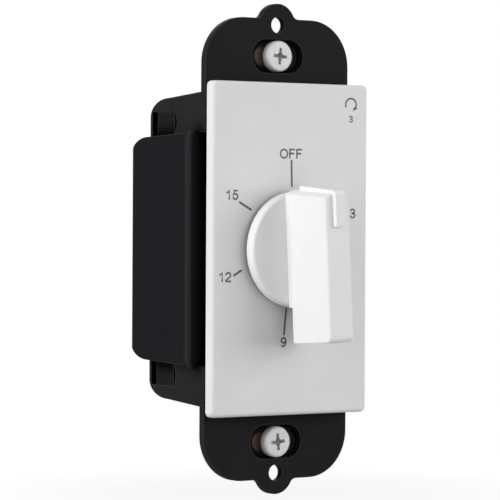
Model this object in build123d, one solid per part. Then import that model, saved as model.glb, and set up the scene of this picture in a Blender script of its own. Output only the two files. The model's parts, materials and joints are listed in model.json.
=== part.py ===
from build123d import *
import math
import os

# Wall timer switch with a clockwork movement, in millimetres.
# X is to the right seen from the front, +Y goes back into the wall, +Z is up.
# The origin is the centre of the strap's rear face.

# Holes shared with wall boxes and cover plates
cover_plate_hole_spacing = 96.84
cover_plate_hole_r = 1.75
screw_to_hole = 6.75

# Strap, moulded in one with the front housing
strap_t = 1.6
strap_half_width = 19.0
ear_wall = 2.88
ear_root_fillet_r = 1.6
lobe_rise = 1.38
lobe_corner_r = 10.0
slot_recess_length = 13.4
slot_recess_height = 7.3
slot_recess_depth = 1.0
slot_length = 11.0
slot_height = 4.0

# Front housing
body_height_share = 0.348
pedestal_side_step = 1.8
pedestal_top_step = 0.7
pedestal_depth = 4.54
front_wall_t = 1.84
bush_length = 1.5
housing_wall = 1.8
end_block_length = 8.7
end_block_taper = 1.7
end_block_setback = 3.2
end_block_corner_depth = 7.0
end_block_corner_height = 4.0
end_block_floor = 3.3
end_block_foot = 1.8
flange_side_step = 2.95
flange_end_step = 0.5
flange_t = 1.2
flange_edge_r = 0.9
flange_corner_r = 2.0
end_pocket_wall = 1.6
end_pocket_rib_t = 1.6
end_pocket_top_wall = 1.5
snap_ledge_setback = 0.4
snap_undercut = 0.7
latch_pocket_reach = 4.65
latch_pocket_depth = 2.6
latch_strip_t = 0.7
latch_scoop_r = 4.1
latch_scoop_depth = 0.85
catch_setback = 0.8
catch_t = 1.05
catch_height = 1.5

# Rear cover
cover_end_gap = 0.2
cover_taper = 0.9
cover_side_draft = 0.1
cover_wall = 1.8
cover_corner_depth = 6.5
cover_corner_height = 3.9
cover_side_r = 0.8
cover_front_edge_r = 0.5
latch_tab_length = 6.55
latch_tab_t = 1.3
latch_side_gap = 0.1
latch_running_gap = 0.15

# Face plate
plate_side_lip = 3.4
plate_end_lip = 2.0
plate_t = 2.35
plate_edge_r = 0.8
plate_corner_r = 1.2
plate_rise = 0.1
plate_hole_r = 5.2
snap_arm_width = 6.0
snap_arm_t = 1.2
snap_arm_share = 0.56
snap_hook_length = 1.6
snap_hook_reach = 0.5
snap_gap = 0.1

# Knob
knob_gap = 0.75
disc_r = 12.45
disc_taper = 0.2
disc_t = 2.3
disc_edge_r = 0.7
disc_rear_edge_r = 0.3
disc_web_t = 1.2
disc_rim_t = 1.5
knob_lean = -2.9
bar_height = 13.96
bar_half_width = 3.3
bar_side_taper = 0.15
bar_top_taper = 0.8
bar_crown = 0.5
bar_overhang = 7.7
bar_bottom_taper = 0.65
bar_bottom_bulge = 0.1
bar_corner_r = 0.25
bar_toe_r = 1.2
bar_edge_r = 0.5
bar_wall = 1.4
overhang_gap = 1.2
pointer_half_width = 1.22
pointer_rear_rise = 1.35
pointer_front_rise = 0.97
pointer_proud = 1.1
pointer_corner_r = 0.9
pointer_start_gap = 5.6
pointer_end_z = 5.1

# Winding arbor
arbor_r = 2.3
arbor_flat_half = 1.7
arbor_knob_gap = 3.5
arbor_rear_reach = 0.7
arbor_collar_r = 3.0
arbor_collar_t = 0.5
arbor_flat_depth = 0.54
arbor_hole_gap = 0.25
bearing_gap = 0.05
knob_bore_gap = 0.05
knob_hub_wall = 1.3
clip_t = 0.4
clip_half_width = 1.3

# Movement frame
frame_side_gap = 1.45
frame_end_gap = 0.4
frame_corner_r = 2.5
frame_t = 0.8
pillar_side_inset = 5.0
pillar_end_inset = 1.7
pillar_r = 1.9
pillar_bore_r = 1.1
boss_r = 2.7
movement_screw_r = 1.0
movement_screw_head_r = 1.9
movement_screw_head_t = 1.2
movement_screw_slot_w = 0.6
movement_screw_bite = 2.3
axial_gap = 0.1

# The clockwork and switch lengths below are drawn for a frame of this size.
# They are scaled across X and Z when the frame gets a different size.
drawn_frame_half_width = 18.6
drawn_frame_half_height = 21.7
frame_window_r = 4.0

# Mainspring
spring_inner_r = 2.5
spring_pitch = 0.98
spring_t = 0.35
spring_half_turns = 12
spring_width = 4.0
spring_front_gap = 0.6
spring_rear_gap = 0.6
spring_post_r = 0.8

# Clockwork
wheel_t = 0.8
train_wheel_t = 0.6
pinion_margin = 0.4
train_arbor_r = 0.6
pivot_r = 0.35
pivot_gap = 0.03
main_module = 0.35
train_module = 0.3
main_teeth = 60
second_pinion_teeth = 12
second_teeth = 50
third_pinion_teeth = 10
third_teeth = 40
escape_pinion_teeth = 10
wheel_tooth_share = 0.46
pinion_tooth_share = 0.40
wheel_addendum_share = 1.0
pinion_addendum_share = 0.75
dedendum_share = 1.35
tip_width_share = 0.42
second_arbor_angle = -75
third_arbor_angle = 180
escape_arbor_angle = 150
ratchet_t = 0.9
ratchet_teeth = 12
ratchet_tip_r = 4.6
ratchet_root_r = 3.7
ratchet_gap = 0.2
second_wheel_gap = 0.6
third_wheel_gap = 0.5
crossing_inner_r = 3.6
crossing_rim = 1.4
crossing_arm = 1.5
crossing_arms = 4
train_hub_r = 1.6
train_crossing_rim = 1.2

# Click that holds the main wheel to the ratchet wheel
click_stud_r = 0.7
click_stud_angle = 62
click_stud_distance = 7.4
click_boss_r = 1.3
click_tip_gap = 0.25
click_nose_angle = 3.7
click_side_angle = 40

# Escapement
escape_teeth = 15
escape_tip_r = 4.8
escape_root_r = 3.7
escape_hub_r = 1.3
escape_gap = 1.6
escape_slope_share = 0.125
escape_root_share = 0.5
escape_arms = 3
escape_arm_width = 1.2
verge_distance = 6.9
verge_angle = 105
verge_t = 0.8
pallet_pin_r = 0.35
pallet_gap = 0.3
pallet_pin_angle = 36
verge_arm_half = 0.55
balance_r = 4.3
balance_rim = 1.0
balance_t = 1.0
balance_gap = 1.7

# Switch
cam_gap = 0.9
cam_t = 2.0
cam_r = 7.0
cam_notch_r = 5.1
cam_notch_half_angle = 17
cam_notch_floor_half_angle = 9
switch_depth = 6.6
leaf_t = 0.3
leaf_x = 8.6
leaf_width = 4.0
leaf_front_gap = 0.1
leaf_lower_length = 16.0
leaf_upper_length = 9.2
line_blade_length = 5.5
leaf_bump_half = 2.4
leaf_bump_gap = 0.4
contact_r = 1.5
contact_t = 0.8
contact_gap = 1.2
contact_z = 7.0
terminal_t = 1.0
terminal_blade_t = 0.8
terminal_x = 13.0
terminal_z = 14.2
terminal_window = 9.0
terminal_inner_z = 9.2
terminal_outer_z = 19.4
terminal_outer_x = 17.6
terminal_blade_gap = 0.5
terminal_overlap = 0.2
terminal_screw_r = 1.9
terminal_screw_head_r = 3.9
terminal_screw_head_t = 1.6
terminal_screw_length = 5.0
terminal_screw_slot_w = 0.9
terminal_screw_slot_depth = 0.8

# Mounting screws and the fibre retainers that hold them in their slots
screw_r = 1.75
screw_head_r = 3.35
screw_head_h = 1.95
screw_head_edge = 0.6
screw_length = 19.0
screw_tip = 1.0
screw_neck_r = 1.5
screw_neck_play = 0.45
cross_half_length = 1.8
cross_half_width = 0.36
cross_centre_r = 0.8
cross_depth = 1.1
cross_turn_angle = 5
retainer_half_width = 6.2
retainer_half_height = 4.0
retainer_t = 0.5
retainer_corner_r = 1.0
retainer_hole_gap = 0.05
retainer_gap = 0.05

overrun = 1.0

# Heights and widths that follow from the sizes above
mounting_screw_z = cover_plate_hole_spacing / 2 - screw_to_hole
cover_plate_hole_z = cover_plate_hole_spacing / 2
ear_r = cover_plate_hole_r + ear_wall
lobe_top_z = cover_plate_hole_z + lobe_rise
end_block_front_z = body_height_share * cover_plate_hole_spacing
end_block_rear_z = end_block_front_z - end_block_taper
end_block_inner_z = end_block_front_z - end_block_length
end_block_foot_z = end_block_inner_z - end_block_foot
pedestal_half_width = strap_half_width - pedestal_side_step
pedestal_half_height = end_block_front_z - pedestal_top_step
plate_half_width = pedestal_half_width + plate_side_lip
plate_half_height = end_block_front_z + plate_end_lip
flange_half_width = strap_half_width + flange_side_step
flange_half_height = end_block_inner_z + flange_end_step
cover_half_width = flange_half_width
cover_front_z = end_block_inner_z - cover_end_gap
cover_rear_z = cover_front_z - cover_taper
cavity_half_width = pedestal_half_width - housing_wall
cavity_half_height = end_block_inner_z - housing_wall
end_pocket_inner_z = end_block_inner_z + end_pocket_wall
end_pocket_outer_z = pedestal_half_height - end_pocket_top_wall
snap_arm_x = snap_arm_share * cavity_half_width
frame_half_width = cover_half_width - cover_wall - cover_side_draft - frame_side_gap
frame_half_height = cover_rear_z - cover_wall - frame_end_gap
pillar_x = frame_half_width - pillar_side_inset
pillar_z = frame_half_height - pillar_end_inset
disc_front_r = disc_r - disc_taper
bar_top_r = disc_r
bar_top_front_r = bar_top_r - bar_top_taper
bar_front_half_width = bar_half_width - bar_side_taper
bar_bottom_z = disc_r + bar_overhang
bar_bottom_front_z = bar_bottom_z - bar_bottom_taper

# Depths that follow, from the knob's front to the cover's rear
strap_front_y = -strap_t
pedestal_front_y = -pedestal_depth
plate_front_y = pedestal_front_y - plate_t
disc_rear_y = plate_front_y - knob_gap
disc_front_y = disc_rear_y - disc_t
overhang_rear_y = disc_front_y - overhang_gap
bar_front_y = disc_front_y - bar_height
arbor_front_y = bar_front_y + arbor_knob_gap
arbor_flat_rear_y = pedestal_front_y + arbor_flat_depth
cavity_front_y = pedestal_front_y + front_wall_t
snap_ledge_y = strap_front_y + snap_ledge_setback
slot_floor_y = strap_front_y + slot_recess_depth
frame_front_y = flange_t
frame_front_face_y = frame_front_y + frame_t
spring_y = frame_front_face_y + spring_front_gap
ratchet_y = spring_y + spring_width + spring_rear_gap
main_wheel_y = ratchet_y + ratchet_t + ratchet_gap
second_wheel_y = main_wheel_y + wheel_t + second_wheel_gap
third_wheel_y = second_wheel_y + train_wheel_t + third_wheel_gap
escape_wheel_y = frame_front_face_y + escape_gap
balance_y = escape_wheel_y + balance_gap
frame_rear_y = third_wheel_y + 2 * train_wheel_t + pinion_margin
frame_back_y = frame_rear_y + frame_t
cam_y = frame_back_y + cam_gap
arbor_rear_y = cam_y + cam_t + arbor_rear_reach
cover_inner_y = cam_y + switch_depth
cover_rear_y = cover_inner_y + cover_wall
end_block_depth = cover_rear_y - end_block_setback
latch_window_rear_y = end_block_depth - latch_strip_t
catch_rear_y = latch_window_rear_y - catch_setback
catch_front_y = catch_rear_y - catch_t
latch_tab_rear_y = catch_front_y - latch_running_gap
latch_tab_front_y = latch_tab_rear_y - latch_tab_length
latch_window_front_y = latch_tab_front_y - latch_side_gap

clock_scale = min(frame_half_width / drawn_frame_half_width,
                  frame_half_height / drawn_frame_half_height)


def fitted(length):
    """A clockwork or switch length, scaled with the frame it sits in."""
    return clock_scale * length


def box(x0, x1, y0, y1, z0, z1):
    """A block between two corners."""
    return Pos((x0 + x1) / 2, (y0 + y1) / 2, (z0 + z1) / 2) * Box(x1 - x0, y1 - y0, z1 - z0)


def side_box(side, x0, x1, y0, y1, z0, z1):
    """A block on the left (-1) or right (1) side."""
    low, high = sorted((side * x0, side * x1))
    return box(low, high, y0, y1, z0, z1)


def along_y(face, y0, y1):
    """Extrude a face drawn as X, Z from y0 back to y1."""
    plane = Plane(origin=(0, y1, 0), x_dir=(1, 0, 0), z_dir=(0, -1, 0))
    return extrude(plane * face, amount=y1 - y0)


def along_x(face, half_width):
    """Extrude a face drawn as Y, Z to both sides."""
    return extrude(Plane.YZ * face, amount=half_width, both=True)


def rod(radius, y0, y1, x=0, z=0):
    """A round rod along Y."""
    return Pos(x, (y0 + y1) / 2, z) * Rot(90, 0, 0) * Cylinder(radius, y1 - y0)


def tube(outer, inner, y0, y1, x=0, z=0):
    """A round tube along Y."""
    return rod(outer, y0, y1, x, z) - rod(inner, y0 - overrun, y1 + overrun, x, z)


def turned(points):
    """Revolve an outline given as (radius, y) about the Y axis."""
    face = make_face(Polyline(*[(r, y) for r, y in points], close=True))
    return revolve(face, Axis.Y)


def front_face(solid):
    return solid.faces().sort_by(Axis.Y)[0]


def polar(radius, degrees, x=0, z=0):
    """A point at an angle from +X towards +Z about a centre."""
    turn = math.radians(degrees)
    return (x + radius * math.cos(turn), z + radius * math.sin(turn))


def at(solid, x, z):
    return Pos(x, 0, z) * solid


def save(name, shape):
    shape.label = name
    export_step(shape, f"parts/{name}.step")


# Front housing with the strap

def strap_outline():
    """Half lobes with the ear on top, drawn for the upper end; the lower end mirrors it."""
    lobe_height = lobe_top_z - end_block_inner_z
    lobe = Pos(0, end_block_inner_z + lobe_height / 2) * Rectangle(2 * strap_half_width, lobe_height)
    lobe = fillet(lobe.vertices().group_by(Axis.Y)[-1], lobe_corner_r)
    shape = lobe + Pos(0, cover_plate_hole_z) * Circle(ear_r)
    roots = [v for v in shape.vertices() if abs(v.Y - lobe_top_z) < strap_t and abs(v.X) < ear_r]
    return fillet(roots, ear_root_fillet_r)


def strap_end():
    solid = along_y(strap_outline(), strap_front_y, 0)
    recess = Pos(0, mounting_screw_z) * SlotOverall(slot_recess_length, slot_recess_height)
    slot = Pos(0, mounting_screw_z) * SlotOverall(slot_length, slot_height)
    solid -= along_y(recess, strap_front_y - overrun, slot_floor_y)
    solid -= along_y(slot, slot_floor_y - overrun, overrun)
    return solid - rod(cover_plate_hole_r, strap_front_y - overrun, overrun, 0, cover_plate_hole_z)


def rear_corner(front_y, front_z, rear_y, rear_z, depth, height):
    """Sloping outer side as Y, Z, ended by an elliptical corner; also gives where it ends."""
    share = (rear_y - depth - front_y) / (rear_y - front_y)
    knee = (rear_y - depth, front_z + share * (rear_z - front_z))
    centre = (knee[0], knee[1] - height)
    lines = [Line((front_y, front_z), knee),
             EllipticalCenterArc(centre, depth, height, arc_size=90)]
    return lines, (rear_y, centre[1])


def end_block():
    """Tower behind the strap that follows the cover's outline, with pockets for its latches."""
    lines, low = rear_corner(strap_front_y, end_block_front_z, end_block_depth, end_block_rear_z,
                             end_block_corner_depth, end_block_corner_height)
    corners = [low, (end_block_depth, end_block_foot_z), (flange_t, end_block_foot_z),
               (flange_t, end_block_inner_z), (strap_front_y, end_block_inner_z),
               (strap_front_y, end_block_front_z)]
    lines += [Line(a, b) for a, b in zip(corners, corners[1:])]
    solid = along_x(make_face(Wire(lines)), strap_half_width)
    solid -= cover_shell(-cover_end_gap, flange_t, cover_rear_y)
    solid += box(-pedestal_half_width, pedestal_half_width, pedestal_front_y, strap_front_y,
                 cavity_half_height, pedestal_half_height)
    for side in (-1, 1):
        solid = latch_pocket(solid, side)
    return solid


def latch_pocket(solid, side):
    """Window that a latch tab snaps into over a thin rear wall, with a scoop in front and a catch."""
    outer_x = strap_half_width + overrun
    floor_x = strap_half_width - latch_pocket_depth
    top_z = end_block_inner_z + latch_pocket_reach
    solid -= side_box(side, floor_x, outer_x, latch_window_front_y, latch_window_rear_y,
                      end_block_foot_z - overrun, top_z)
    scoop_y = latch_window_front_y - latch_scoop_depth + latch_scoop_r
    scoop_z = end_block_inner_z + latch_pocket_reach / 2
    scoop = Pos(0, scoop_y, scoop_z) * Rot(0, 90, 0) * Cylinder(latch_scoop_r, 2 * outer_x)
    solid -= scoop & side_box(side, floor_x, outer_x, scoop_y - latch_scoop_r, latch_window_rear_y,
                              end_block_inner_z, top_z)
    return solid + side_box(side, floor_x, floor_x + catch_height, catch_front_y, catch_rear_y,
                            end_block_inner_z, top_z)


def end_pockets():
    """The hollows of an end block, with a ledge near the front for the face plate's hooks."""
    hollows = []
    deep_y = end_block_depth - end_block_floor
    ledge_end_y = end_block_depth - end_block_corner_depth
    for side in (-1, 1):
        hollows.append(side_box(side, end_pocket_rib_t / 2, cavity_half_width, pedestal_front_y - overrun,
                                deep_y, end_pocket_inner_z, end_pocket_outer_z - snap_undercut))
        hollows.append(side_box(side, end_pocket_rib_t / 2, cavity_half_width, snap_ledge_y,
                                ledge_end_y, end_pocket_inner_z, end_pocket_outer_z))
    return hollows


def flange():
    outline = RectangleRounded(2 * flange_half_width, 2 * flange_half_height, flange_corner_r)
    solid = along_y(outline, 0, flange_t)
    return fillet(front_face(solid).edges(), flange_edge_r)


def front_housing():
    solid = flange()
    solid += box(-pedestal_half_width, pedestal_half_width, pedestal_front_y, flange_t,
                 -end_block_inner_z, end_block_inner_z)
    for half in (strap_end(), end_block()):
        solid += half
        solid += mirror(half, Plane.XY)
    for hollow in end_pockets():
        solid -= hollow
        solid -= mirror(hollow, Plane.XY)
    solid -= box(-cavity_half_width, cavity_half_width, cavity_front_y, flange_t + overrun,
                 -cavity_half_height, cavity_half_height)
    for x, z in pillar_places():
        solid += rod(boss_r, cavity_front_y - front_wall_t / 2, flange_t, x, z)
        solid -= rod(movement_screw_r, flange_t - movement_screw_bite - axial_gap, flange_t + overrun, x, z)
    solid += rod(arbor_r + housing_wall, cavity_front_y - front_wall_t / 2, cavity_front_y + bush_length)
    return solid - rod(arbor_r + arbor_hole_gap, pedestal_front_y - overrun, flange_t)


# Rear cover

def cover_shell(inset, front_y, rear_y):
    """Tapered box with elliptical rear corners; inset moves every wall inwards."""
    lines, low = rear_corner(front_y, cover_front_z - inset, rear_y, cover_rear_z - inset,
                             cover_corner_depth - inset, cover_corner_height - inset)
    lines += [Line(low, (rear_y, 0)), Line((rear_y, 0), (front_y, 0)),
              Line((front_y, 0), (front_y, cover_front_z - inset))]
    upper = make_face(Wire(lines))
    solid = along_x(upper + mirror(upper, Plane.XZ), cover_half_width + overrun)
    half_front = cover_half_width - inset
    half_rear = half_front - cover_side_draft
    top = make_face(Polyline((-half_front, front_y), (half_front, front_y), (half_rear, rear_y),
                             (-half_rear, rear_y), close=True))
    if inset == 0:
        top = fillet(top.vertices().group_by(Axis.Y)[-1], cover_side_r)
    return solid & extrude(top, amount=cover_front_z + overrun, both=True)


def rear_cover():
    solid = cover_shell(0, flange_t, cover_rear_y)
    solid = fillet(front_face(solid).edges(), cover_front_edge_r)
    solid -= cover_shell(cover_wall, flange_t - overrun, cover_inner_y)
    x = fitted(terminal_x)
    half = fitted(terminal_window) / 2
    for side in (-1, 1):
        z = side * fitted(terminal_z)
        solid -= box(x - half, x + half, cover_inner_y - overrun, cover_rear_y + overrun,
                     z - half, z + half)
    tab_outer_x = strap_half_width - latch_side_gap
    root_z = cover_rear_z - cover_wall / 2
    for side_x in (-1, 1):
        tab = side_box(side_x, tab_outer_x - latch_tab_t, tab_outer_x, latch_tab_front_y,
                       latch_tab_rear_y, root_z, end_block_inner_z + latch_pocket_reach - latch_side_gap)
        solid += tab
        solid += mirror(tab, Plane.XY)
    return solid


# Face plate

def face_plate():
    outline = RectangleRounded(2 * plate_half_width, 2 * plate_half_height, plate_corner_r)
    solid = along_y(outline, plate_front_y, pedestal_front_y)
    solid = fillet(front_face(solid).edges(), plate_edge_r)
    solid = at(solid, 0, plate_rise)
    solid -= rod(plate_hole_r, plate_front_y - overrun, overrun)
    outer_z = end_pocket_outer_z - snap_undercut - snap_gap
    hook_y = snap_ledge_y + snap_gap
    for side in (-1, 1):
        x0, x1 = (side * snap_arm_x - snap_arm_width / 2, side * snap_arm_x + snap_arm_width / 2)
        arm = box(x0, x1, pedestal_front_y, hook_y + snap_hook_length, outer_z - snap_arm_t, outer_z)
        arm += box(x0, x1, hook_y, hook_y + snap_hook_length, outer_z - snap_arm_t,
                   outer_z + snap_hook_reach)
        solid += arm
        solid += mirror(arm, Plane.XY)
    return solid


# Knob

def bar_outline(half_width, top_r, bottom_z):
    """Grip bar seen from the front: round top end, slightly bulged lower end."""
    top_side_z = math.sqrt(top_r ** 2 - half_width ** 2)
    low_z = bottom_z - bar_bottom_bulge
    low_x = half_width - bar_corner_r
    lines = [
        Line((-half_width, -low_z + bar_corner_r), (-half_width, top_side_z)),
        ThreePointArc((-half_width, top_side_z), (0, top_r + bar_crown), (half_width, top_side_z)),
        Line((half_width, top_side_z), (half_width, -low_z + bar_corner_r)),
        Line((half_width, -low_z + bar_corner_r), (low_x, -low_z)),
        ThreePointArc((low_x, -low_z), (0, -bottom_z), (-low_x, -low_z)),
        Line((-low_x, -low_z), (-half_width, -low_z + bar_corner_r)),
    ]
    return make_face(Wire(lines))


def front_plane(y):
    return Plane(origin=(0, y, 0), x_dir=(1, 0, 0), z_dir=(0, -1, 0))


def grip_bar():
    rear = front_plane(disc_front_y) * bar_outline(bar_half_width, bar_top_r, bar_bottom_z)
    front = front_plane(bar_front_y) * bar_outline(bar_front_half_width, bar_top_front_r,
                                                   bar_bottom_front_z)
    solid = loft([rear, front])
    low_edges = front_face(solid).edges().filter_by(lambda e: e.center().Z < -bar_top_front_r)
    solid = fillet(low_edges, bar_toe_r)
    side_edges = front_face(solid).edges().filter_by(lambda e: e.center().Z > -bar_top_front_r)
    solid = fillet(side_edges, bar_edge_r)
    solid -= box(-bar_half_width - overrun, bar_half_width + overrun, overhang_rear_y,
                 disc_front_y + overrun, -bar_bottom_z - overrun, -disc_front_r)
    return solid


def pointer_ridge():
    """Raised L that runs along the top end and down the front of the bar."""
    slope = bar_top_taper / bar_height
    start_y = plate_front_y - pointer_start_gap
    start_z = bar_top_r - slope * (disc_front_y - start_y) + pointer_rear_rise
    front_y = bar_front_y - pointer_proud
    front_z = bar_top_front_r + pointer_front_rise
    root = pointer_half_width
    inner_z = bar_top_front_r - 2 * root
    face = make_face(Polyline((start_y, start_z), (front_y, front_z), (front_y, pointer_end_z),
                              (bar_front_y + root, pointer_end_z), (bar_front_y + root, inner_z),
                              (start_y, inner_z), close=True))
    corner = face.vertices().sort_by(lambda v: v.X - v.Y)[0]
    return along_x(fillet(corner, pointer_corner_r), pointer_half_width)


def knob_disc():
    points = [(0, disc_front_y), (disc_front_r, disc_front_y), (disc_r, disc_rear_y), (0, disc_rear_y)]
    solid = turned(points)
    rims = solid.edges().filter_by(GeomType.CIRCLE).sort_by(Axis.Y)
    solid = fillet(rims[0], disc_edge_r)
    rims = solid.edges().filter_by(GeomType.CIRCLE).sort_by(Axis.Y)
    return fillet(rims[-1], disc_rear_edge_r)


def knob():
    solid = knob_disc() + grip_bar() + pointer_ridge()
    hub_half_z = arbor_r + knob_hub_wall
    hub_r = math.hypot(hub_half_z, bar_half_width)
    solid -= tube(disc_front_r - disc_rim_t, hub_r, disc_front_y + disc_web_t, disc_rear_y + overrun)
    inner_x = bar_half_width - bar_wall
    pocket_front_y = bar_front_y + bar_wall
    low_z = bar_bottom_front_z - bar_bottom_bulge - bar_wall
    solid -= box(-inner_x, inner_x, pocket_front_y, disc_rear_y + overrun, hub_half_z,
                 bar_top_front_r - bar_wall)
    solid -= box(-inner_x, inner_x, pocket_front_y, disc_rear_y + overrun,
                 disc_rim_t - disc_front_r, -hub_half_z)
    solid -= box(-inner_x, inner_x, pocket_front_y, overhang_rear_y + overrun, -low_z, -disc_r)
    bore = rod(arbor_r + knob_bore_gap, arbor_front_y - knob_bore_gap, disc_rear_y + overrun)
    flat = arbor_flat_half + knob_bore_gap
    solid -= bore & box(-flat, flat, bar_front_y, disc_rear_y + overrun, -arbor_r - overrun,
                        arbor_r + overrun)
    clip_half = clip_half_width + knob_bore_gap
    solid -= box(0, flat + clip_t, arbor_front_y - knob_bore_gap, disc_rear_y + overrun,
                 -clip_half, clip_half)
    return lean(solid)


def lean(solid):
    return Rot(0, knob_lean, 0) * solid


def knob_clip():
    x0 = arbor_flat_half + knob_bore_gap / 2
    return lean(box(x0, x0 + clip_t, arbor_front_y, disc_rear_y, -clip_half_width, clip_half_width))


def winding_arbor():
    solid = rod(arbor_r, arbor_front_y, arbor_rear_y)
    for side in (-1, 1):
        solid -= side_box(side, arbor_flat_half, arbor_r + overrun, arbor_front_y - overrun,
                          arbor_flat_rear_y, -arbor_r, arbor_r)
    collar_y = frame_front_y - axial_gap - arbor_collar_t
    return lean(solid + rod(arbor_collar_r, collar_y, collar_y + arbor_collar_t))


# Movement frame

def pillar_places():
    return [(x, z) for x in (-pillar_x, pillar_x) for z in (-pillar_z, pillar_z)]


def frame_plate(y):
    outline = RectangleRounded(2 * frame_half_width, 2 * frame_half_height, frame_corner_r)
    solid = along_y(outline, y, y + frame_t)
    holes = [(arbor_r + bearing_gap, (0, 0))]
    holes += [(pivot_r + pivot_gap, place)
              for place in (second_place, third_place, escape_place, verge_place)]
    holes += [(movement_screw_r + bearing_gap, place) for place in pillar_places()]
    window_r = fitted(frame_window_r)
    holes += [(window_r, (side * pillar_x / 2, pillar_z - window_r)) for side in (-1, 1)]
    for radius, (x, z) in holes:
        solid -= rod(radius, y - overrun, y + frame_t + overrun, x, z)
    return solid


def movement_front_plate():
    x, z = spring_post_place
    return frame_plate(frame_front_y) - rod(spring_post_r, frame_front_y - overrun,
                                            frame_front_face_y + overrun, x, z)


def movement_pillars():
    return [tube(pillar_r, pillar_bore_r, frame_front_face_y, frame_rear_y, x, z)
            for x, z in pillar_places()]


def slotted_screw(radius, y0, head_y, head_r, head_t, slot_w, slot_depth, x, z):
    """Screw along Y with a flat slotted head facing the rear."""
    head_end_y = head_y + head_t
    slot = box(x - head_r, x + head_r, head_end_y - slot_depth, head_end_y + overrun,
               z - slot_w / 2, z + slot_w / 2)
    return rod(radius, y0, head_y, x, z) + rod(head_r, head_y, head_end_y, x, z) - slot


def movement_screws():
    return [slotted_screw(movement_screw_r, flange_t - movement_screw_bite, frame_back_y,
                          movement_screw_head_r, movement_screw_head_t, movement_screw_slot_w,
                          movement_screw_head_t / 2, x, z)
            for x, z in pillar_places()]


# Mainspring

def mainspring():
    """Flat spiral of half turns; each half turn's centre steps over by half the pitch."""
    shape = None
    pitch = fitted(spring_pitch)
    for turn in range(spring_half_turns):
        radius = spring_inner_r + turn * pitch / 2
        upper = turn % 2 == 0
        centre = 0 if upper else -pitch / 2
        ring = Pos(centre, 0) * (Circle(radius + spring_t / 2) - Circle(radius - spring_t / 2))
        side = radius if upper else -radius
        half = ring & (Pos(centre, side) * Rectangle(3 * radius, 2 * radius))
        shape = half if shape is None else shape + half
    return along_y(shape, spring_y, spring_y + spring_width)


def spring_post():
    x, z = spring_post_place
    return rod(spring_post_r, frame_front_y, spring_y + spring_width, x, z)


# Wheels and pinions

def gear_face(module, teeth, tooth_share, addendum_share):
    """Clock teeth: straight flanks to the pitch circle, then a narrowing tip."""
    pitch_r = module * teeth / 2
    root_r = pitch_r - dedendum_share * module
    tip_r = pitch_r + addendum_share * module
    pitch_angle = 360 / teeth
    half = tooth_share * pitch_angle / 2
    points = []
    for tooth in range(teeth):
        middle = tooth * pitch_angle
        for radius, offset in ((root_r, -half), (pitch_r, -half), (tip_r, -half * tip_width_share),
                               (tip_r, half * tip_width_share), (pitch_r, half), (root_r, half)):
            points.append(polar(radius, middle + offset))
    return make_face(Polyline(*points, close=True))


def web_openings(outer_r, inner_r, arm_width, arms):
    """What is cut from a wheel's web to leave its arms."""
    ring = Circle(outer_r) - Circle(inner_r)
    for arm in range(arms):
        ring -= Rot(0, 0, arm * 360 / arms) * Pos(outer_r / 2, 0) * Rectangle(outer_r, arm_width)
    return ring


def crossed_wheel(module, teeth, y, thickness, hub_r, rim, bore_r):
    """Toothed wheel with its web cut away between arms."""
    face = gear_face(module, teeth, wheel_tooth_share, wheel_addendum_share)
    root_r = module * (teeth / 2 - dedendum_share)
    face -= web_openings(root_r - fitted(rim), fitted(hub_r), fitted(crossing_arm), crossing_arms)
    return along_y(face - Circle(bore_r), y, y + thickness)


def spun(solid, degrees, place):
    """Turn a wheel about its own arbor, towards +Z from +X, and put it in its place."""
    x, z = place
    return Pos(x, 0, z) * Rot(0, -degrees, 0) * solid


def pivoted_arbor(x=0, z=0):
    """Plain arbor with a fine pivot in each frame plate."""
    solid = rod(pivot_r, frame_front_y, frame_back_y, x, z)
    return solid + rod(train_arbor_r, frame_front_face_y + axial_gap, frame_rear_y - axial_gap, x, z)


def mesh_phase(line_angle, driver_phase, driver_teeth, driven_teeth):
    """Turn that puts a gap of the driven gear where the driver's tooth points."""
    driver_pitch = 360 / driver_teeth
    driven_pitch = 360 / driven_teeth
    share = ((line_angle - driver_phase) / driver_pitch) % 1
    facing = line_angle + 180
    return facing + share * driven_pitch - driven_pitch / 2


wheel_module = fitted(main_module)
small_module = fitted(train_module)
second_distance = wheel_module * (main_teeth + second_pinion_teeth) / 2
third_distance = small_module * (second_teeth + third_pinion_teeth) / 2
escape_distance = small_module * (third_teeth + escape_pinion_teeth) / 2
second_place = polar(second_distance, second_arbor_angle)
third_place = polar(third_distance, third_arbor_angle, *second_place)
escape_place = polar(escape_distance, escape_arbor_angle, *third_place)
verge_place = polar(fitted(verge_distance), verge_angle, *escape_place)
click_place = polar(fitted(click_stud_distance), click_stud_angle)
spring_outer_r = spring_inner_r + (spring_half_turns - 1) * fitted(spring_pitch) / 2
spring_post_place = (spring_outer_r - fitted(spring_pitch) / 2 + spring_t / 2 + spring_post_r, 0)

second_phase = mesh_phase(second_arbor_angle, 0, main_teeth, second_pinion_teeth)
third_phase = mesh_phase(third_arbor_angle, second_phase, second_teeth, third_pinion_teeth)
escape_phase = mesh_phase(escape_arbor_angle, third_phase, third_teeth, escape_pinion_teeth)

# The pallet pins are three tooth pitches apart, and each stands midway between two tooth tips.
escape_pitch_angle = 360 / escape_teeth
escape_wheel_phase = verge_angle + pallet_pin_angle - escape_pitch_angle / 2


def main_wheel():
    solid = crossed_wheel(wheel_module, main_teeth, main_wheel_y, wheel_t, crossing_inner_r,
                          crossing_rim, arbor_r + bearing_gap)
    solid += rod(fitted(click_boss_r), main_wheel_y, main_wheel_y + wheel_t, *click_place)
    return solid + rod(fitted(click_stud_r), ratchet_y - axial_gap, main_wheel_y + wheel_t / 2,
                       *click_place)


def train_wheel(teeth, y, phase, place):
    solid = crossed_wheel(small_module, teeth, y, train_wheel_t, train_hub_r, train_crossing_rim,
                          train_arbor_r)
    return spun(solid, phase, place)


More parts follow.
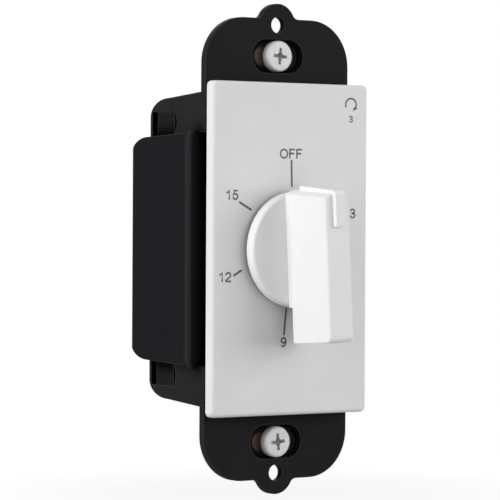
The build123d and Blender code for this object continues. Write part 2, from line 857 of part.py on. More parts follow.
def train_pinion(module, teeth, driver_y, end_y, phase, place):
    """Pinion cut on its arbor, from just before its driving wheel back to its own wheel."""
    leaves = gear_face(module, teeth, pinion_tooth_share, pinion_addendum_share)
    solid = pivoted_arbor() + along_y(leaves, driver_y - pinion_margin, end_y)
    return spun(solid, phase, place)


def second_wheel():
    return train_wheel(second_teeth, second_wheel_y, second_phase, second_place)


def second_pinion():
    return train_pinion(wheel_module, second_pinion_teeth, main_wheel_y, second_wheel_y,
                        second_phase, second_place)


def third_wheel():
    return train_wheel(third_teeth, third_wheel_y, third_phase, third_place)


def third_pinion():
    return train_pinion(small_module, third_pinion_teeth, second_wheel_y, third_wheel_y,
                        third_phase, third_place)


def escape_wheel():
    points = []
    root_r = fitted(escape_root_r)
    for tooth in range(escape_teeth):
        start = tooth * escape_pitch_angle
        points.append(polar(fitted(escape_tip_r), start))
        points.append(polar(root_r, start + escape_slope_share * escape_pitch_angle))
        points.append(polar(root_r, start + (escape_slope_share + escape_root_share) * escape_pitch_angle))
    face = make_face(Polyline(*points, close=True))
    face -= web_openings(root_r - train_arbor_r, fitted(escape_hub_r), fitted(escape_arm_width), escape_arms)
    solid = along_y(face - Circle(train_arbor_r), escape_wheel_y, escape_wheel_y + train_wheel_t)
    return spun(solid, escape_wheel_phase, escape_place)


def escape_pinion():
    end_y = third_wheel_y + train_wheel_t + pinion_margin
    return train_pinion(small_module, escape_pinion_teeth, third_wheel_y, end_y,
                        escape_phase, escape_place)


# Verge and balance

def verge():
    """Anchor with two pallet pins that straddle the escape wheel."""
    x, z = verge_place
    pin_distance = fitted(escape_tip_r + pallet_gap) + pallet_pin_r
    arm_half = fitted(verge_arm_half)
    arm_y = escape_wheel_y + train_wheel_t + axial_gap
    solid = pivoted_arbor(x, z)
    for side in (-1, 1):
        pin_x, pin_z = polar(pin_distance, verge_angle + side * pallet_pin_angle, *escape_place)
        solid += rod(pallet_pin_r, escape_wheel_y, arm_y + verge_t, pin_x, pin_z)
        length = math.hypot(pin_x - x, pin_z - z)
        angle = math.degrees(math.atan2(pin_z - z, pin_x - x))
        arm = Pos(x, z) * Rot(0, 0, angle) * Pos(length / 2, 0) * Rectangle(length, 2 * arm_half)
        solid += along_y(arm, arm_y, arm_y + verge_t)
        solid += rod(arm_half, arm_y, arm_y + verge_t, pin_x, pin_z)
    return solid


def balance():
    outer_r = fitted(balance_r)
    rim = fitted(balance_rim)
    ring = Circle(outer_r) - Circle(outer_r - rim)
    ring += Rectangle(2 * outer_r - rim, rim)
    ring += Circle(fitted(escape_hub_r))
    ring -= Circle(train_arbor_r)
    return at(along_y(ring, balance_y, balance_y + balance_t), *verge_place)


# Ratchet wheel and click

def ratchet_wheel():
    pitch_angle = 360 / ratchet_teeth
    points = []
    for tooth in range(ratchet_teeth):
        points.append(polar(fitted(ratchet_tip_r), tooth * pitch_angle))
        points.append(polar(fitted(ratchet_root_r), tooth * pitch_angle))
    face = make_face(Polyline(*points, close=True)) - Circle(arbor_r)
    return along_y(face, ratchet_y, ratchet_y + ratchet_t)


def click():
    """Pawl whose nose stands just clear of a ratchet tooth's upright face."""
    nose_angle = 360 / ratchet_teeth + click_nose_angle
    nose_low = polar(fitted(ratchet_root_r + click_tip_gap), nose_angle)
    nose_high = polar(fitted(ratchet_tip_r + click_tip_gap), nose_angle)
    side_turns = (click_stud_angle - click_side_angle, click_stud_angle + 180 - click_side_angle)
    outer, inner = [polar(fitted(click_boss_r), turn, *click_place) for turn in side_turns]
    face = make_face(Polyline(nose_low, nose_high, outer, inner, close=True))
    face += Pos(*click_place) * Circle(fitted(click_boss_r))
    face -= Pos(*click_place) * Circle(fitted(click_stud_r) + bearing_gap)
    return along_y(face, ratchet_y, ratchet_y + ratchet_t)


# Switch

def switch_cam():
    """Round cam with one notch, which faces the follower in the off position."""
    start, floor = cam_notch_half_angle, cam_notch_floor_half_angle
    outer_r, notch_r = fitted(cam_r), fitted(cam_notch_r)
    lines = [
        ThreePointArc(polar(outer_r, start), polar(outer_r, 180), polar(outer_r, -start)),
        Line(polar(outer_r, -start), polar(notch_r, -floor)),
        Line(polar(notch_r, -floor), polar(notch_r, floor)),
        Line(polar(notch_r, floor), polar(outer_r, start)),
    ]
    face = make_face(Wire(lines)) - Circle(arbor_r)
    return along_y(face, cam_y, cam_y + cam_t)


leaf_inner_x = fitted(leaf_x)
leaf_outer_x = leaf_inner_x + leaf_t
leaf_y = cam_y + leaf_front_gap
leaf_bottom_z = -fitted(leaf_lower_length)
fixed_contact_x = leaf_outer_x + contact_t + fitted(contact_gap)
load_blade_x = fixed_contact_x + contact_t


def moving_contact():
    """Leaf spring with a bent follower that drops into the cam's notch."""
    bump_half = fitted(leaf_bump_half)
    tip_x = fitted(cam_notch_r + leaf_bump_gap)
    left = [(leaf_inner_x, leaf_bottom_z), (leaf_inner_x, -bump_half), (tip_x, 0),
            (leaf_inner_x, bump_half), (leaf_inner_x, fitted(leaf_upper_length))]
    right = [(x + leaf_t, z) for x, z in reversed(left)]
    face = make_face(Polyline(*left, *right, close=True))
    return along_y(face, leaf_y, leaf_y + leaf_width)


def contact_point(x0):
    place = Pos(x0 + contact_t / 2, leaf_y + leaf_width / 2, fitted(contact_z))
    return place * Rot(0, 90, 0) * Cylinder(fitted(contact_r), contact_t)


def terminal(side, blade_x, blade_inner_z, blade_outer_z):
    """Plate under the binding screw with an upright blade bent forwards."""
    y0 = cover_inner_y - terminal_t
    x = fitted(terminal_x)
    plate_x = x - fitted(terminal_window) / 2 - fitted(terminal_overlap)
    z0, z1 = sorted((side * fitted(terminal_inner_z), side * fitted(terminal_outer_z)))
    solid = box(plate_x, fitted(terminal_outer_x), y0, cover_inner_y, z0, z1)
    z0, z1 = sorted((blade_inner_z, blade_outer_z))
    solid += box(blade_x, blade_x + terminal_blade_t, leaf_y, cover_inner_y, z0, z1)
    return solid - rod(fitted(terminal_screw_r), y0 - overrun, cover_rear_y, x, side * fitted(terminal_z))


def line_terminal():
    return terminal(-1, leaf_outer_x, leaf_bottom_z, leaf_bottom_z + fitted(line_blade_length))


def load_terminal():
    outer_z = fitted(terminal_z - terminal_screw_r - terminal_blade_gap)
    return terminal(1, load_blade_x, fitted(contact_z - 2 * contact_r), outer_z)


def terminal_screws():
    return [slotted_screw(fitted(terminal_screw_r), cover_inner_y - terminal_screw_length, cover_inner_y,
                          fitted(terminal_screw_head_r), terminal_screw_head_t, terminal_screw_slot_w,
                          terminal_screw_slot_depth, fitted(terminal_x), side * fitted(terminal_z))
            for side in (-1, 1)]


# Mounting screws

def mounting_screw(side):
    """Pan head with a cross recess, a thin neck for the retainer, and a full shank behind it."""
    head_front = slot_floor_y - screw_head_h
    solid = rod(screw_head_r, head_front, slot_floor_y)
    solid = fillet(front_face(solid).edges(), screw_head_edge)
    end_y = slot_floor_y + screw_length
    neck_end_y = retainer_gap + retainer_t + screw_neck_play
    solid += turned([(0, slot_floor_y), (screw_neck_r, slot_floor_y), (screw_neck_r, neck_end_y),
                     (screw_r, neck_end_y), (screw_r, end_y - screw_tip),
                     (screw_r - screw_tip / 2, end_y), (0, end_y)])
    cross = rod(cross_centre_r, head_front - overrun, head_front + cross_depth)
    for turn in (0, 90):
        arm = box(-cross_half_length, cross_half_length, head_front - overrun, head_front + cross_depth,
                  -cross_half_width, cross_half_width)
        cross += Rot(0, turn, 0) * arm
    solid -= Rot(0, side * cross_turn_angle, 0) * cross
    return at(solid, 0, side * mounting_screw_z)


def screw_retainer(side):
    outline = RectangleRounded(2 * retainer_half_width, 2 * retainer_half_height, retainer_corner_r)
    solid = along_y(outline, retainer_gap, retainer_gap + retainer_t)
    solid -= rod(screw_neck_r + retainer_hole_gap, -overrun, overrun + retainer_t)
    return at(solid, 0, side * mounting_screw_z)


os.makedirs("parts", exist_ok=True)
pieces = {
    "front_housing": front_housing(),
    "rear_cover": rear_cover(),
    "face_plate": face_plate(),
    "knob": knob(),
    "knob_clip": knob_clip(),
    "winding_arbor": winding_arbor(),
    "movement_front_plate": movement_front_plate(),
    "movement_rear_plate": frame_plate(frame_rear_y),
    "movement_pillars": Compound(children=movement_pillars()),
    "movement_screws": Compound(children=movement_screws()),
    "mainspring": mainspring(),
    "spring_post": spring_post(),
    "ratchet_wheel": ratchet_wheel(),
    "click": click(),
    "main_wheel": main_wheel(),
    "second_wheel": second_wheel(),
    "second_pinion": second_pinion(),
    "third_wheel": third_wheel(),
    "third_pinion": third_pinion(),
    "escape_wheel": escape_wheel(),
    "escape_pinion": escape_pinion(),
    "verge": verge(),
    "balance": balance(),
    "switch_cam": switch_cam(),
    "moving_contact": moving_contact(),
    "moving_contact_point": contact_point(leaf_outer_x),
    "fixed_contact_point": contact_point(fixed_contact_x),
    "line_terminal": line_terminal(),
    "load_terminal": load_terminal(),
    "terminal_screws": Compound(children=terminal_screws()),
    "mounting_screw_top": mounting_screw(1),
    "mounting_screw_bottom": mounting_screw(-1),
    "screw_retainer_top": screw_retainer(1),
    "screw_retainer_bottom": screw_retainer(-1),
}
for name, shape in pieces.items():
    save(name, shape)
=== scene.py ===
import json
import math

import bpy
from mathutils import Matrix, Vector


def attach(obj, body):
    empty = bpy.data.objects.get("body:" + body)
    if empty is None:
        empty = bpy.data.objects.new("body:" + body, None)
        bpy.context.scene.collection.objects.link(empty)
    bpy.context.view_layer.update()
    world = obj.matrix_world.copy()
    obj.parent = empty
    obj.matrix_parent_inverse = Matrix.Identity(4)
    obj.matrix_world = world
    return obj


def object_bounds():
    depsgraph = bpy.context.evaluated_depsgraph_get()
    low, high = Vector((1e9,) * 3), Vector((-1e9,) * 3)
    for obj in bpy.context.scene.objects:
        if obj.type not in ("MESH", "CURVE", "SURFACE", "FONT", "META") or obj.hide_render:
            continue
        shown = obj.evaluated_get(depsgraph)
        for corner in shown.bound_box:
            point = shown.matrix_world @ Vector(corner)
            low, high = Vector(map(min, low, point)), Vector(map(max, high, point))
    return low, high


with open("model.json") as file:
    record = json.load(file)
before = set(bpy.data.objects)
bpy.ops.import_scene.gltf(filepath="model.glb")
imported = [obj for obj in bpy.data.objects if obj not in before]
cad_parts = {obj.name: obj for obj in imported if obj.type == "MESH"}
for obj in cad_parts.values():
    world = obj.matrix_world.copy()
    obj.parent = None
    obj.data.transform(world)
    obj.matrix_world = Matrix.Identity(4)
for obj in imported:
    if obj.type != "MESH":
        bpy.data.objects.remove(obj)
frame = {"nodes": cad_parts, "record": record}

# Timer light switch: finishes, dial marks, floor, light and camera. Lengths are in metres.
mm = 0.001
cad_box = [list(corner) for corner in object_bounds()]

# The two mounting screws: distance from the dial's centre, reach of the cross recess, the plane
# that the head stays in front of, and the 6-32 thread behind it
screw_z = 41.67 * mm
recess_reach = 1.95 * mm
head_y = -1.0 * mm
thread_start_y = 1.2 * mm
thread_pitch = 0.794 * mm
thread_depth = 0.2 * mm
# Painted shade fills the recess, a star at whose edge the square roots of both distances from its
# centre, in shares of the reach, add up to 1. It fades out between these two sums
star_outside = 1.12
star_inside = 0.95
recess_painted_shade = 0.42

# Dial marks on the face plate, in millimetres from the dial's centre
plate_front_y = -6.89
ink_t = 0.012
cap_height = 2.2
pen_share = 0.168
tick_width = 0.48
ticks = {
    "tick_off": ((0.10, 13.58), (-0.06, 19.03)),
    "tick_3": ((11.9, 6.4), (14.4, 7.7)),
    "tick_6": ((11.2, -7.6), (13.5, -9.15)),
    "tick_9": ((-1.24, -12.8), (-1.81, -18.2)),
    "tick_12": ((-13.15, -4.45), (-15.0, -5.45)),
    "tick_15": ((-10.7, 8.5), (-13.6, 10.05)),
}
words = {
    "word_off": ("OFF", (-0.17, 20.56), 1.0),
    "numeral_3": ("3", (16.55, 7.8), 1.0),
    "numeral_6": ("6", (14.9, -10.3), 1.0),
    "numeral_9": ("9", (-1.9, -19.9), 1.0),
    "numeral_12": ("12", (-17.34, -5.8), 1.0),
    "numeral_15": ("15", (-15.64, 11.6), 1.0),
    "numeral_note": ("3", (15.96, 28.35), 0.7),
}

# The clockwise arrow over the corner's numeral, its angles in degrees from +X
arrow_centre = (15.95, 31.4)
arrow_radius = 1.45
arrow_width = 0.38
arrow_start = 200
arrow_end = -20
arrow_tip_turn = 50
arrow_head_share = 2.6
arrow_steps = 24


# Node helpers for the finishes

def grey(value):
    return (value, value, value)


class Nodes:
    """Short ways to add and link the nodes of a material or of the world."""

    # A colour mix's colour sockets share their names with others, so they go by number
    mix_first = 6
    mix_second = 7
    mix_result = 2

    def __init__(self, tree):
        self.tree = tree

    def feed(self, node, values):
        """Sets the node's inputs to plain values, or links them to sockets."""
        for name, value in values.items():
            if isinstance(value, bpy.types.NodeSocket):
                self.tree.links.new(value, node.inputs[name])
            else:
                node.inputs[name].default_value = value

    def add(self, kind, values=None):
        node = self.tree.nodes.new("ShaderNode" + kind)
        self.feed(node, values or {})
        return node

    def math(self, operation, first, second=None):
        """The value of a Math node whose inputs are sockets or plain numbers."""
        node = self.add("Math")
        node.operation = operation
        self.feed(node, {0: first} if second is None else {0: first, 1: second})
        return node.outputs["Value"]

    def vector_math(self, operation, *vectors):
        """The number that a Vector Math node measures."""
        node = self.add("VectorMath")
        node.operation = operation
        self.feed(node, dict(enumerate(vectors)))
        return node.outputs["Value"]

    def seen_directly(self):
        """1 for the camera, mirrors and glass, 0 where the surface only lights others."""
        rays = self.add("LightPath").outputs
        seen = rays["Is Camera Ray"]
        for other in ("Is Glossy Ray", "Is Transmission Ray"):
            seen = self.math("MAXIMUM", seen, rays[other])
        return seen


class Finish(Nodes):
    """A material measured in the object's own metres. Noises count waves in a metre."""

    colour_ends = (0.3, 0.7)
    ring_wobble = 0.6
    shaded_edge = 0.3 * mm

    def __init__(self, name, roughness, metallic, specular=0.5):
        self.material = bpy.data.materials.new(name)
        self.material.use_nodes = True
        super().__init__(self.material.node_tree)
        self.shader = self.tree.nodes["Principled BSDF"]
        self.feed(self.shader, {"Metallic": metallic, "Roughness": roughness,
                                "Specular IOR Level": specular})
        self.place = self.add("TexCoord").outputs["Object"]
        self.normal = None

    def noise(self, scale, detail, stretch=(1, 1, 1)):
        place = self.add("Mapping", {"Scale": stretch, "Vector": self.place}).outputs["Vector"]
        return self.add("TexNoise", {"Scale": scale, "Detail": detail, "Vector": place}).outputs["Fac"]

    def turned_rings(self, scale):
        """Fine rings about the Y axis, as a lathe leaves them."""
        node = self.add("TexWave", {"Scale": scale, "Distortion": self.ring_wobble,
                                    "Vector": self.place})
        node.wave_type = "RINGS"
        node.rings_direction = "Y"
        return node.outputs["Fac"]

    def colour(self, value, low, high):
        """Base colour between low and high, following the value."""
        ramp = self.add("ValToRGB", {"Fac": value})
        for element, position, tone in zip(ramp.color_ramp.elements, self.colour_ends, (low, high)):
            element.position = position
            element.color = (*tone, 1)
        self.feed(self.shader, {"Base Color": ramp.outputs["Color"]})

    def roughness(self, value, low, high):
        spread = self.add("MapRange", {"To Min": low, "To Max": high, "Value": value})
        self.feed(self.shader, {"Roughness": spread.outputs["Result"]})

    def tinted(self, share, tint):
        """The base colour multiplied by the tint where the share is 1."""
        base = self.shader.inputs["Base Color"].links[0].from_socket
        mix = self.add("Mix")
        mix.data_type = "RGBA"
        mix.blend_type = "MULTIPLY"
        self.feed(mix, {"Factor": share, self.mix_first: base, self.mix_second: (*tint, 1)})
        self.feed(self.shader, {"Base Color": mix.outputs[self.mix_result]})

    def painted_shade_and_edge_shine(self, specular, reach, depth, edge_shine=0.0, own_shape_only=True):
        """Painted shade: base colour darkened and reflection dulled by ambient occlusion in recesses
        narrower than the reach; shinier on edges.
        """
        occlusion = self.add("AmbientOcclusion", {"Distance": reach})
        occlusion.only_local = own_shape_only
        # Painted shade: the base colour goes towards black, and the reflection is dulled, where the
        # occlusion is deep
        unshaded_share = self.math("POWER", occlusion.outputs["AO"], depth)
        self.tinted(self.math("SUBTRACT", 1.0, unshaded_share), grey(0))
        shine = self.math("MULTIPLY", unshaded_share, specular)
        if edge_shine:
            rounded = self.add("Bevel", {"Radius": self.shaded_edge}).outputs["Normal"]
            turn = self.vector_math("DISTANCE", rounded, self.add("NewGeometry").outputs["Normal"])
            shine = self.math("ADD", shine, self.math("MULTIPLY", turn, edge_shine))
            self.normal = rounded
        self.feed(self.shader, {"Specular IOR Level": shine})

    def bump(self, value, strength, distance):
        """Adds a relief to those already there."""
        node = self.add("Bump", {"Strength": strength, "Distance": distance, "Height": value})
        if self.normal is not None:
            self.feed(node, {"Normal": self.normal})
        self.normal = node.outputs["Normal"]
        self.feed(self.shader, {"Normal": self.normal})


# Noises as waves in a metre and detail, reliefs as strength and depth
mottling = (140, 4)
gloss_patches = (900, 2)
gloss_spread = 0.05
flow_waves = (60, 2)
flow_relief = (0.25, 0.04 * mm)
grain_detail = 3
grain_strength = 0.5
tarnish = (420, 4)
tool_lines = (2600, 3)
tool_line_gloss = (-0.08, 0.1)
tool_line_relief = (0.35, 0.012 * mm)
ring_relief = (0.25, 0.008 * mm)


def moulded(name, low, high, roughness, specular, grain, depth, painted_hollow_shade=None):
    """Moulded plastic: faint mottling, fine spark-eroded grain, slow flow waviness, and painted shade
    in recesses where given.
    """
    finish = Finish(name, roughness, metallic=0.0, specular=specular)
    finish.colour(finish.noise(*mottling), low, high)
    finish.roughness(finish.noise(*gloss_patches), roughness - gloss_spread, roughness + gloss_spread)
    if painted_hollow_shade:
        finish.painted_shade_and_edge_shine(specular, *painted_hollow_shade)
    finish.bump(finish.noise(*flow_waves), *flow_relief)
    finish.bump(finish.noise(grain, grain_detail), grain_strength, depth)
    return finish.material


def worked(name, low, high, roughness, stretch, rings=None, metallic=1.0, recessed=False):
    """Metal: tone varied by tarnish, drawn or rolled lines, and optional turned rings."""
    finish = Finish(name, roughness, metallic)
    finish.colour(finish.noise(*tarnish), low, high)
    lines = finish.noise(*tool_lines, stretch)
    finish.roughness(lines, *(roughness + change for change in tool_line_gloss))
    finish.bump(lines, *tool_line_relief)
    if rings:
        finish.bump(finish.turned_rings(rings), *ring_relief)
    if recessed:
        machine_screw(finish)
    return finish.material


def machine_screw(finish):
    """A cut thread on the shank, and painted shade in the head's cross recess."""
    place = finish.add("SeparateXYZ", {"Vector": finish.place}).outputs
    on_shank = finish.math("GREATER_THAN", place["Y"], thread_start_y)
    thread = finish.math("SINE", finish.math("MULTIPLY", place["Y"], 2 * math.pi / thread_pitch))
    finish.bump(finish.math("MULTIPLY", thread, on_shank), 1.0, thread_depth)
    across = finish.math("ABSOLUTE", place["X"])
    from_dial = finish.math("ABSOLUTE", place["Z"])
    along = finish.math("ABSOLUTE", finish.math("SUBTRACT", from_dial, screw_z))
    roots = [finish.math("SQRT", finish.math("DIVIDE", distance, recess_reach))
             for distance in (across, along)]
    star = finish.add("MapRange", {"From Min": star_outside, "From Max": star_inside,
                                   "Value": finish.math("ADD", *roots)})
    # Painted shade: the cross recess on the head is darkened
    on_head = finish.math("LESS_THAN", place["Y"], head_y)
    finish.tinted(finish.math("MULTIPLY", star.outputs["Result"], on_head), grey(recess_painted_shade))


# Plastics: low and high colour, roughness, specular level, waves of grain in a metre, its depth,
# and for the painted shade in recesses the reach, its power, the shine of edges and "own shape only"
black_surface = (0.62, 0.03, 5200, 0.012 * mm)
plastics = {
    # Painted shade darkens the black's own slots and recesses, and dulls their reflections
    "black_plastic": ((0.0150, 0.0146, 0.0164), (0.0172, 0.0168, 0.0186), *black_surface,
                      (3.5 * mm, 4.5, 0.6)),
    # Painted shadow of the knob on the plate, round the disc and under the bar, from occlusion that
    # counts the other parts
    "plate_plastic": ((0.76, 0.76, 0.755), (0.785, 0.785, 0.78), 0.55, 0.25, 6500, 0.006 * mm,
                      (8 * mm, 0.35, 0.0, False)),
    "knob_plastic": (grey(0.84), grey(0.86), 0.48, 0.2, 7000, 0.003 * mm),
    "cam_plastic": ((0.68, 0.60, 0.42), (0.76, 0.69, 0.52), 0.4, 0.4, 4200, 0.01 * mm),
    # Painted shade darkens the fibre along the slot's edges
    "fibre": ((0.085, 0.048, 0.028), (0.19, 0.115, 0.07), 0.7, 0.25, 2400, 0.03 * mm, (1.4 * mm, 1.0)),
}

# Metals: low and high colour, roughness, how the drawn lines are squeezed along X, Y and Z, waves
# of turned rings in a metre, metallic share, and "a machine screw"
metals = {
    "spring_steel": ((0.20, 0.22, 0.27), (0.33, 0.35, 0.40), 0.32, (1, 12, 1)),
    "arbor_steel": (grey(0.50), grey(0.60), 0.28, (1, 14, 1), 900),
    "frame_brass": ((0.66, 0.49, 0.21), (0.76, 0.59, 0.28), 0.34, (14, 1, 1)),
    "wheel_brass": ((0.72, 0.53, 0.22), (0.82, 0.64, 0.31), 0.28, (1, 1, 1), 700),
    "screw_steel": (grey(0.52), grey(0.64), 0.32, (1, 1, 1), 900),
    "contact_bronze": ((0.68, 0.42, 0.24), (0.78, 0.52, 0.31), 0.33, (1, 1, 12)),
    "contact_silver": (grey(0.78), grey(0.88), 0.25, (1, 1, 1), 800),
    "terminal_screw_brass": ((0.70, 0.52, 0.22), (0.80, 0.62, 0.30), 0.3, (1, 1, 1), 900),
    "screw_nickel": (grey(0.57), grey(0.63), 0.72, (1, 1, 1), 600, 0.55, True),
}
finishes = {name: moulded(name, *row) for name, row in plastics.items()}
finishes.update({name: worked(name, *row) for name, row in metals.items()})

for row in frame["record"]["subparts"]:
    node = frame["nodes"][row["node"]]
    node.data.materials.clear()
    node.data.materials.append(finishes[row["material_slot"]])

# The cover's darker, slightly bluer copy of the housing's black is painted shade on its lit side
cover_painted_shade_black = moulded("cover_painted_shade_black", (0.0078, 0.0075, 0.0095), (0.0096, 0.0093, 0.0115),
                      # Its last entry paints shade into the cover's own recesses
                      *black_surface, (3.5 * mm, 3.0, 0.5))
frame["nodes"]["rear_cover"].data.materials[0] = cover_painted_shade_black

# Edges that moulding, stamping and turning leave slightly rounded, in millimetres
edge_rounding = {
    "front_housing": 0.16, "rear_cover": 0.16,
    "screw_retainer_top": 0.06, "screw_retainer_bottom": 0.06,
    "mounting_screw_top": 0.05, "mounting_screw_bottom": 0.05, "terminal_screws": 0.08,
    "movement_front_plate": 0.06, "movement_rear_plate": 0.06,
    "line_terminal": 0.08, "load_terminal": 0.08,
    "main_wheel": 0.03, "switch_cam": 0.12, "balance": 0.05,
}
edge_angle = math.radians(38)
edge_segments = 2
weld_reach = 0.001 * mm
for name, width in edge_rounding.items():
    node = frame["nodes"][name]
    weld = node.modifiers.new("weld", "WELD")
    weld.merge_threshold = weld_reach
    bevel = node.modifiers.new("edge_rounding", "BEVEL")
    bevel.width = width * mm
    bevel.segments = edge_segments
    bevel.limit_method = "ANGLE"
    bevel.angle_limit = edge_angle
    bevel.harden_normals = True

# Printing ink, slightly uneven
ink_patches = (2500, 3)
ink_grain = (5000, 2)
ink = Finish("dial_ink", roughness=0.55, metallic=0.0, specular=0.25)
ink.colour(ink.noise(*ink_patches), grey(0.10), grey(0.135))
ink.bump(ink.noise(*ink_grain), 0.3, 0.004 * mm)


# Dial marks, printed on the plate as thin ink. Outlines and paths are given as X, Z in millimetres

def on_plate(x, z, y):
    return Vector((x * mm, y * mm, z * mm))


def polar(centre, radius, angle):
    return (centre[0] + radius * math.cos(angle), centre[1] + radius * math.sin(angle))


def ink_piece(name, verts, faces):
    mesh = bpy.data.meshes.new(name)
    mesh.from_pydata(verts, [], faces)
    piece = bpy.data.objects.new(name, mesh)
    bpy.context.scene.collection.objects.link(piece)
    piece.data.materials.append(ink.material)
    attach(piece, "case")


def printed(name, outline):
    """A thin slab of ink over an outline."""
    count = len(outline)
    verts = [on_plate(x, z, plate_front_y - ink_t) for x, z in outline]
    verts += [on_plate(x, z, plate_front_y + ink_t) for x, z in outline]
    faces = [list(range(count)), list(range(2 * count - 1, count - 1, -1))]
    for index in range(count):
        after = (index + 1) % count
        faces.append([index, after, count + after, count + index])
    ink_piece(name, verts, faces)


def stroke(start, end, width):
    """Outline of a straight stroke whose ends are half circles."""
    steps = 6
    angle = math.atan2(end[1] - start[1], end[0] - start[0])
    outline = []
    for centre, turn in ((end, -90), (start, 90)):
        for step in range(steps + 1):
            outline.append(polar(centre, width / 2, angle + math.radians(turn + step * 180 / steps)))
    return outline


def arc_arrow():
    """Outline of the clockwise arc with an arrowhead at its end."""
    outer, inner = [], []
    for step in range(arrow_steps + 1):
        around = math.radians(arrow_start + (arrow_end - arrow_start) * step / arrow_steps)
        outer.append(polar(arrow_centre, arrow_radius + arrow_width / 2, around))
        inner.append(polar(arrow_centre, arrow_radius - arrow_width / 2, around))
    end = math.radians(arrow_end)
    head = arrow_head_share * arrow_width
    wings = [polar(arrow_centre, arrow_radius + side * head / 2, end) for side in (1, -1)]
    point = polar(arrow_centre, arrow_radius, math.radians(arrow_end - arrow_tip_turn))
    return outer + [wings[0], point, wings[1]] + inner[::-1]


for name, (start, end) in ticks.items():
    printed(name, stroke(start, end, tick_width))
printed("note_arrow", arc_arrow())


# Plain numerals and letters, drawn as strokes in shares of the capitals' height

def bow(centre, radii, start, end, steps=14):
    """Points along an elliptical arc, in degrees from +X."""
    turns = [math.radians(start + (end - start) * step / steps) for step in range(steps + 1)]
    return [(centre[0] + radii[0] * math.cos(a), centre[1] + radii[1] * math.sin(a)) for a in turns]


six = [bow((0.27, 0.29), (0.265, 0.29), 0, 360, 24),
       bow((0.32, 0.36), (0.315, 0.64), 185, 90, 10) + bow((0.32, 0.78), (0.19, 0.22), 80, 25, 4)]
strokes = {
    "O": [bow((0.42, 0.5), (0.42, 0.5), 0, 360, 28)],
    "F": [[(0, 0), (0, 1), (0.56, 1)], [(0, 0.53), (0.48, 0.53)]],
    "1": [[(0.33, 0), (0.33, 1), (0.27, 0.86), (0.18, 0.79), (0.06, 0.765)]],
    "2": [bow((0.27, 0.70), (0.265, 0.30), 172, -38)
          + [(0.13, 0.22), (0.03, 0.1), (0.0, 0.0), (0.55, 0.0)]],
    "3": [bow((0.26, 0.755), (0.235, 0.245), 165, -80) + [(0.18, 0.52)],
          bow((0.26, 0.26), (0.27, 0.26), 88, -165)],
    "5": [[(0.50, 1), (0.13, 1), (0.05, 0.48)] + bow((0.26, 0.32), (0.275, 0.32), 142, -160)],
    "6": six,
    "9": [[(0.54 - x, 1 - z) for x, z in path] for path in six],
}
advance = {"O": 1.12, "F": 0.86}
digit_advance = 0.78

# Corners are mitred up to a limit, and open strokes run on past their last point
least_corner_cosine = 0.55
longest_mitre = 1.6
end_share = 0.6
closed_share = 0.1


def lettered(name, text, centre, height):
    """One piece of ink for a numeral or word, each stroke a flat ribbon of even width."""
    rise = (1 - pen_share) * height
    pens, reach = [], 0
    for letter in text:
        pens.append(reach)
        reach += advance.get(letter, digit_advance)
    ends = [pen + max(x for path in strokes[letter] for x, z in path)
            for pen, letter in zip(pens, text)]
    shift = max(ends) / 2
    verts, faces = [], []
    for pen, letter in zip(pens, text):
        for path in strokes[letter]:
            points = [(centre[0] + (pen + x - shift) * height, centre[1] + (z - 0.5) * rise)
                      for x, z in path]
            ribbon(points, pen_share * height / 2, verts, faces)
    ink_piece(name, verts, faces)


def ribbon(points, half, verts, faces):
    """Adds a thin slab of the given half width along the points."""
    closed = math.dist(points[0], points[-1]) < half * closed_share
    base = len(verts)
    last = len(points) - 1
    for index, (x, z) in enumerate(points):
        before = points[index - 1] if index else (points[-2] if closed else points[0])
        after = points[index + 1] if index < last else (points[1] if closed else points[-1])
        # Vectors that have no length stay as they are when normalized
        into = Vector((x - before[0], z - before[1])).normalized()
        away = Vector((after[0] - x, after[1] - z)).normalized()
        along = (into + away).normalized()
        cosine = along.dot(away if away.length else into)
        mitre = min(1 / max(cosine, least_corner_cosine), longest_mitre)
        across = Vector((-along.y, along.x)) * half * mitre
        start = Vector((x, z))
        if not closed and index in (0, last):
            start += along * (half if index else -half) * end_share
        for end in (start + across, start - across):
            verts.append(on_plate(end.x, end.y, plate_front_y - ink_t))
            verts.append(on_plate(end.x, end.y, plate_front_y + ink_t))
    for index in range(last):
        a, b = base + 4 * index, base + 4 * (index + 1)
        faces.extend([[a, b, b + 2, a + 2], [a + 1, a + 3, b + 3, b + 1],
                      [a, a + 1, b + 1, b], [a + 2, b + 2, b + 3, a + 3]])


for name, (text, centre, share) in words.items():
    lettered(name, text, centre, share * cap_height)


# Floor: seen as white, with a share of the object's shadow that fades out away from the object
floor_gap = 0.05 * mm
floor_reach = 3.0
floor_grey = 0.45
fade_start = 20 * mm
fade_end = 80 * mm
near_white = 0.9
far_white = 1.0

floor_mesh = bpy.data.meshes.new("floor")
corners = [(-floor_reach, -floor_reach, 0), (floor_reach, -floor_reach, 0),
           (floor_reach, floor_reach, 0), (-floor_reach, floor_reach, 0)]
floor_mesh.from_pydata(corners, [], [(0, 1, 2, 3)])
floor = bpy.data.objects.new("floor", floor_mesh)
floor.location = (0, 0, cad_box[0][2] - floor_gap)
bpy.context.scene.collection.objects.link(floor)

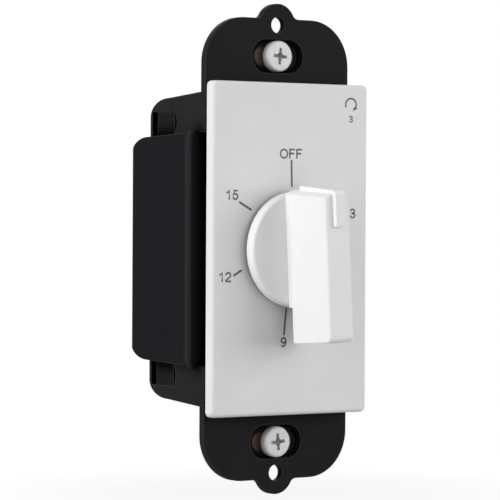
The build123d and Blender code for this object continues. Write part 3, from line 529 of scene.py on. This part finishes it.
floor_finish = bpy.data.materials.new("floor_white")
floor_finish.use_nodes = True
nodes = Nodes(floor_finish.node_tree)
nodes.tree.nodes.clear()
distance = nodes.vector_math("LENGTH", nodes.add("TexCoord").outputs["Object"])
fade = nodes.add("MapRange", {"Value": distance, "From Min": fade_start, "From Max": fade_end,
                              "To Min": near_white, "To Max": far_white})
fade.interpolation_type = "SMOOTHSTEP"
share = nodes.math("MULTIPLY", nodes.seen_directly(), fade.outputs["Result"])
diffuse = nodes.add("BsdfDiffuse", {"Color": (*grey(floor_grey), 1)}).outputs["BSDF"]
white = nodes.add("Emission").outputs["Emission"]
mix = nodes.add("MixShader", {"Fac": share, 1: diffuse, 2: white})
nodes.add("OutputMaterial", {"Surface": mix.outputs["Shader"]})
floor_mesh.materials.append(floor_finish)

# World: white where it is seen, and a plain level of light on the object
light_strength = 0.37
seen_strength = 1.0
world = bpy.data.worlds.new("studio")
bpy.context.scene.world = world
world.use_nodes = True
nodes = Nodes(world.node_tree)
strength = nodes.add("MapRange", {"To Min": light_strength, "To Max": seen_strength,
                                  "Value": nodes.seen_directly()})
nodes.feed(nodes.tree.nodes["Background"], {"Color": (*grey(1), 1),
                                            "Strength": strength.outputs["Result"]})

# Soft lamps, aimed at the dial's centre: place and size in metres, power in watts
lamps = {
    "left_panel": ((-0.80, -0.07, 0.16), (0.55, 0.9), 7.6),
    "key_panel": ((0.48, -0.61, 0.12), (0.5, 0.5), 3.3),
    "rear_panel": ((0.30, 0.78, 0.34), (0.5, 0.5), 3.0),
}
for name, (place, size, power) in lamps.items():
    light = bpy.data.lights.new(name, "AREA")
    light.shape = "RECTANGLE"
    light.size, light.size_y = size
    light.energy = power
    lamp = bpy.data.objects.new(name, light)
    facing = (-Vector(place)).to_track_quat("-Z", "Y").to_matrix().to_4x4()
    lamp.matrix_world = Matrix.Translation(place) @ facing
    bpy.context.scene.collection.objects.link(lamp)

# Camera at the photograph's angle, as fitted to the object's outlines: its turn from the front,
# its tilt and its roll in degrees, its way back, aside and up from the pivot in millimetres, and
# its focal length and shift in pixels of the photograph
yaw, pitch, roll = (math.radians(a) for a in (-35.56, -0.70, 0.315))
camera_back = 644.26
camera_aside = -5.804
camera_up = -0.145
camera_pivot = Vector((0, -1.6, 0))
picture_width = 500
sensor_width = 36
focal_pixels = 2977.8
shift_pixels = (0.15, -0.18)

right = Vector((math.cos(yaw), math.sin(yaw), 0))
ahead = Vector((-math.sin(yaw), math.cos(yaw), 0))
up = Vector((0, 0, 1))
aim = ahead * math.cos(pitch) + up * math.sin(pitch)
rise = -ahead * math.sin(pitch) + up * math.cos(pitch)
side = right * math.cos(roll) + rise * math.sin(roll)
top = -right * math.sin(roll) + rise * math.cos(roll)
camera_place = (camera_aside * side + camera_up * top - camera_back * aim + camera_pivot) * mm
camera_data = bpy.data.cameras.new("camera")
camera_data.sensor_width = sensor_width
camera_data.lens = focal_pixels / picture_width * sensor_width
camera_data.shift_x = shift_pixels[0] / picture_width
camera_data.shift_y = shift_pixels[1] / picture_width
camera_data.clip_start = 10 * mm
camera = bpy.data.objects.new("camera", camera_data)
camera_turn = Matrix((side, top, -aim)).transposed().to_4x4()
camera.matrix_world = Matrix.Translation(camera_place) @ camera_turn
bpy.context.scene.collection.objects.link(camera)
bpy.context.scene.camera = camera

bpy.context.scene.view_settings.view_transform = "Standard"

bpy.context.view_layer.update()
